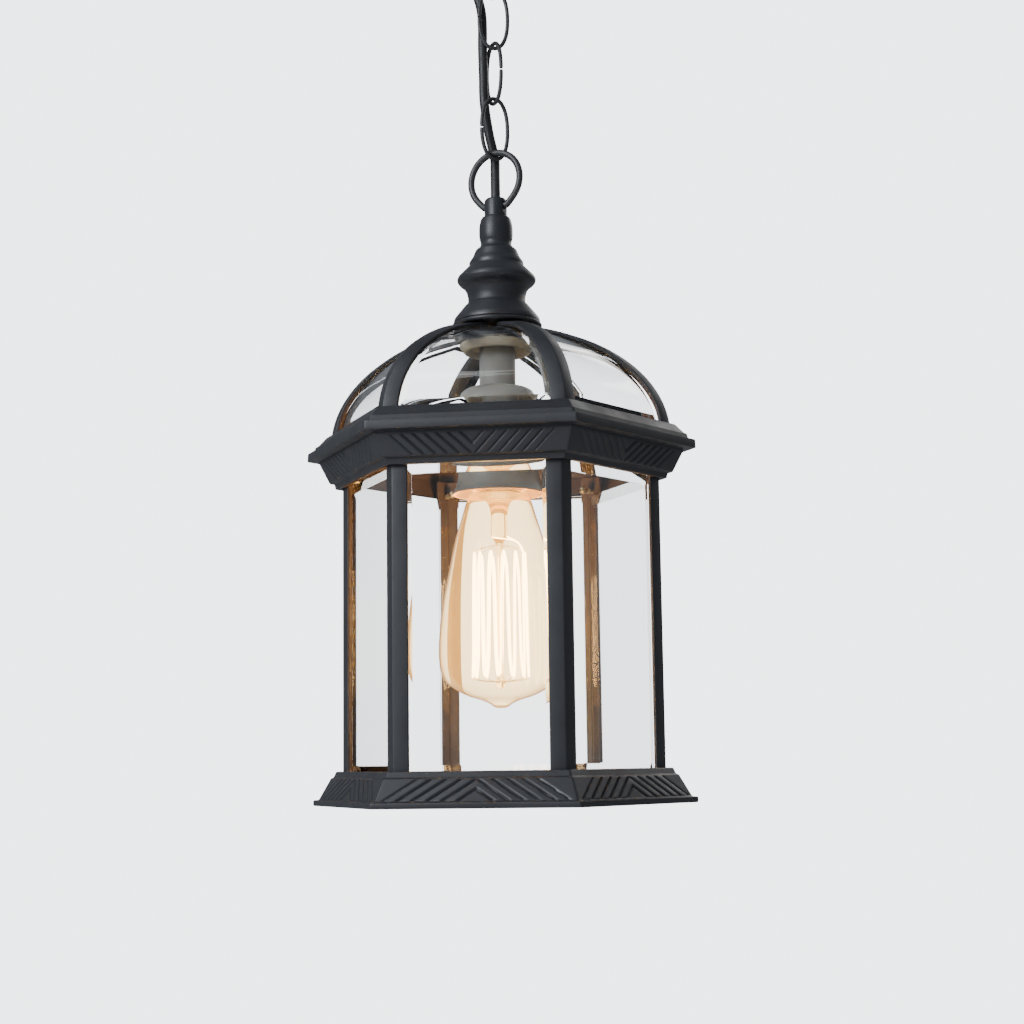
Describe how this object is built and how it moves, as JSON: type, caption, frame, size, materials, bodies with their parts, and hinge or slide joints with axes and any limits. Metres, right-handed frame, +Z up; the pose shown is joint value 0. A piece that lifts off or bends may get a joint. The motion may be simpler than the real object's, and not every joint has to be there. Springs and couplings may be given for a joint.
{
  "type": "hanging lantern",
  "caption": "Hexagonal hanging lantern with glazed sides, domed glass roof, turned finial, ring, chain, ceiling canopy and a screw-in filament bulb.",
  "frame": {"origin": "the ceiling plane, on the axis that the lantern hangs on", "axes": "+Z up, along the lantern's axis; +X through a corner of the hexagon; the camera-facing pane faces -Y"},
  "size_m": [0.2068, 0.179, 0.491],
  "materials": {
    "black_paint": "satin black powder coat",
    "grey_paint": "satin dark grey paint",
    "pane_glass": "clear bevelled glass",
    "fitting_brass": "plain brass",
    "zinc_steel": "zinc plated",
    "cord_sheath": "smooth black PVC",
    "ceramic": "glazed off-white porcelain",
    "shell_copper": "plain copper alloy",
    "cap_brass": "rolled thin brass",
    "cap_insulator": "black glass",
    "bulb_glass": "clear, faintly amber glass",
    "filament": "tungsten wire, glowing when lit"
  },
  "bodies": {
    "canopy": {"ceiling_strap": "zinc_steel", "strap_screw_1": "fitting_brass", "strap_screw_2": "fitting_brass", "canopy": "black_paint", "canopy_nipple": "fitting_brass", "canopy_lock_nut": "fitting_brass", "canopy_loop": "black_paint", "cord_bushing": "cord_sheath", "cord": "cord_sheath"},
    "link_upper": {"chain_link_upper": "black_paint"},
    "link_middle": {"chain_link_middle": "black_paint"},
    "link_lower": {"chain_link_lower": "black_paint"},
    "ring": {"hanging_ring": "black_paint"},
    "lantern": {"finial": "black_paint", "dome_cap": "black_paint", "dome_hub": "grey_paint", "spacer_tube": "grey_paint", "socket_nipple": "fitting_brass", "dome_rib_1": "black_paint", "dome_rib_2": "black_paint", "dome_rib_3": "black_paint", "dome_rib_4": "black_paint", "dome_rib_5": "black_paint", "dome_rib_6": "black_paint", "dome_glass_1": "pane_glass", "dome_glass_2": "pane_glass", "dome_glass_3": "pane_glass", "dome_glass_4": "pane_glass", "dome_glass_5": "pane_glass", "dome_glass_6": "pane_glass", "corner_post_1": "black_paint", "corner_post_2": "black_paint", "corner_post_3": "black_paint", "corner_post_4": "black_paint", "corner_post_5": "black_paint", "corner_post_6": "black_paint", "wall_glass_1": "pane_glass", "wall_glass_2": "pane_glass", "wall_glass_3": "pane_glass", "wall_glass_4": "pane_glass", "wall_glass_5": "pane_glass", "wall_glass_6": "pane_glass", "corner_screw_1": "fitting_brass", "corner_screw_2": "fitting_brass", "corner_screw_3": "fitting_brass", "corner_screw_4": "fitting_brass", "corner_screw_5": "fitting_brass", "corner_screw_6": "fitting_brass", "roof_frame": "black_paint", "base_frame": "black_paint", "socket_cup": "grey_paint", "socket_insulator": "ceramic", "socket_shell": "shell_copper", "socket_contact": "fitting_brass"},
    "bulb_seat": {"bulb_contact": "zinc_steel"},
    "bulb": {"bulb_cap": "cap_brass", "bulb_insulator": "cap_insulator", "bulb_glass": "bulb_glass", "bulb_stem": "bulb_glass", "bulb_filament": "filament"}
  },
  "joints": [
    {"name": "upper_link_swing", "type": "hinge", "parent": "canopy", "child": "link_upper", "pos_m": [0, 0, -0.04625], "axis": [0.3875, -0.9219, 0], "range_deg": [-15, 15], "deforming": ["cord"]},
    {"name": "middle_link_swing", "type": "hinge", "parent": "link_upper", "child": "link_middle", "pos_m": [0, 0, -0.07645], "axis": [0.9219, 0.3875, 0], "range_deg": [-15, 15]},
    {"name": "lower_link_swing", "type": "hinge", "parent": "link_middle", "child": "link_lower", "pos_m": [0, 0, -0.10755], "axis": [0.6129, -0.7902, 0], "range_deg": [-15, 15]},
    {"name": "ring_swing", "type": "hinge", "parent": "link_lower", "child": "ring", "pos_m": [0, 0, -0.13865], "axis": [0.7902, 0.6129, 0], "range_deg": [-15, 15]},
    {"name": "lantern_swing", "type": "hinge", "parent": "ring", "child": "lantern", "pos_m": [0, 0, -0.165], "axis": [0.9323, -0.3616, 0], "range_deg": [-20, 20]},
    {"name": "bulb_travel", "type": "slide", "parent": "lantern", "child": "bulb_seat", "axis": [0, 0, -1], "range_m": [0, 0.0182]},
    {"name": "bulb_unscrew", "type": "hinge", "parent": "bulb_seat", "child": "bulb", "pos_m": [0, 0, -0.331], "axis": [0, 0, -1], "range_deg": [0, 1800]}
  ],
  "couplings": [
    {"joint": "bulb_travel", "follows": "bulb_unscrew", "m_per_rad": 0.00057757}
  ]
}
